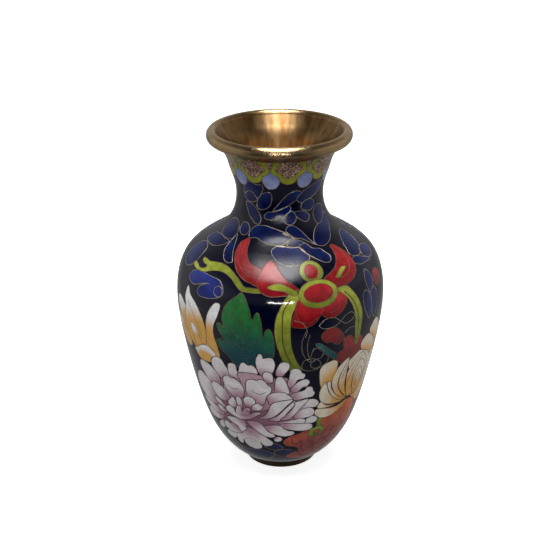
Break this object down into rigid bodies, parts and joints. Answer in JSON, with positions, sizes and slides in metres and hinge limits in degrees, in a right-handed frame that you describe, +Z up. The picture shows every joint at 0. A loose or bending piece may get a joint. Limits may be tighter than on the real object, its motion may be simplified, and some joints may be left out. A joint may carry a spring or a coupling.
{
  "type": "cloisonne vase",
  "caption": "Round-bellied metal vase with a narrow neck and flared brass mouth, coated in wired enamel flowers, leaves and a ribbon knot on a dark ground.",
  "frame": {"origin": "on the floor at the centre of the foot ring", "axes": "+Z up along the axis of the vase, -Y towards the front of the design"},
  "size_m": [0.0889, 0.089, 0.152],
  "materials": {
    "rim_brass": "polished, a little worn",
    "body_copper": "raised copper sheet, satin",
    "wire_gold": "gilt, polished flush with the enamel",
    "ground_navy": "polished glass enamel",
    "peony_mauve": "polished glass enamel, white tips to mauve",
    "chrysanthemum_ochre": "polished glass enamel, white tips to ochre",
    "lily_yellow": "polished glass enamel, white tips to yellow",
    "leaf_green": "polished glass enamel, green to teal",
    "ribbon_red": "polished glass enamel",
    "ribbon_lime": "polished glass enamel",
    "berry_red": "polished glass enamel",
    "flower_orange": "polished glass enamel",
    "leaf_blue": "polished glass enamel",
    "leaf_navy": "polished glass enamel",
    "scallop_lavender": "polished glass enamel",
    "lappet_lime": "polished glass enamel",
    "lappet_brown": "speckled glass enamel"
  },
  "bodies": {
    "root": {"foot_ring": "rim_brass", "mouth_rim": "rim_brass", "base_disc": "body_copper", "lower_shell": "body_copper", "upper_shell": "body_copper", "neck_shell": "body_copper", "base_enamel": "ground_navy", "ground_enamel": "ground_navy", "peony_enamel": "peony_mauve", "chrysanthemum_enamel": "chrysanthemum_ochre", "lily_enamel": "lily_yellow", "green_leaf_enamel": "leaf_green", "red_ribbon_enamel": "ribbon_red", "lime_ribbon_enamel": "ribbon_lime", "berry_enamel": "berry_red", "orange_flower_enamel": "flower_orange", "blue_leaf_enamel": "leaf_blue", "navy_leaf_enamel": "leaf_navy", "scallop_enamel": "scallop_lavender", "lappet_band_enamel": "lappet_lime", "lappet_heart_enamel": "lappet_brown", "peony_wires": "wire_gold", "chrysanthemum_wires": "wire_gold", "ribbon_wires": "wire_gold", "lily_wires": "wire_gold", "green_leaf_wires": "wire_gold", "berry_wires": "wire_gold", "orange_flower_wires": "wire_gold", "blue_leaf_wires": "wire_gold", "navy_leaf_wires": "wire_gold", "scallop_wires": "wire_gold", "lappet_wires": "wire_gold"}
  },
  "joints": []
}
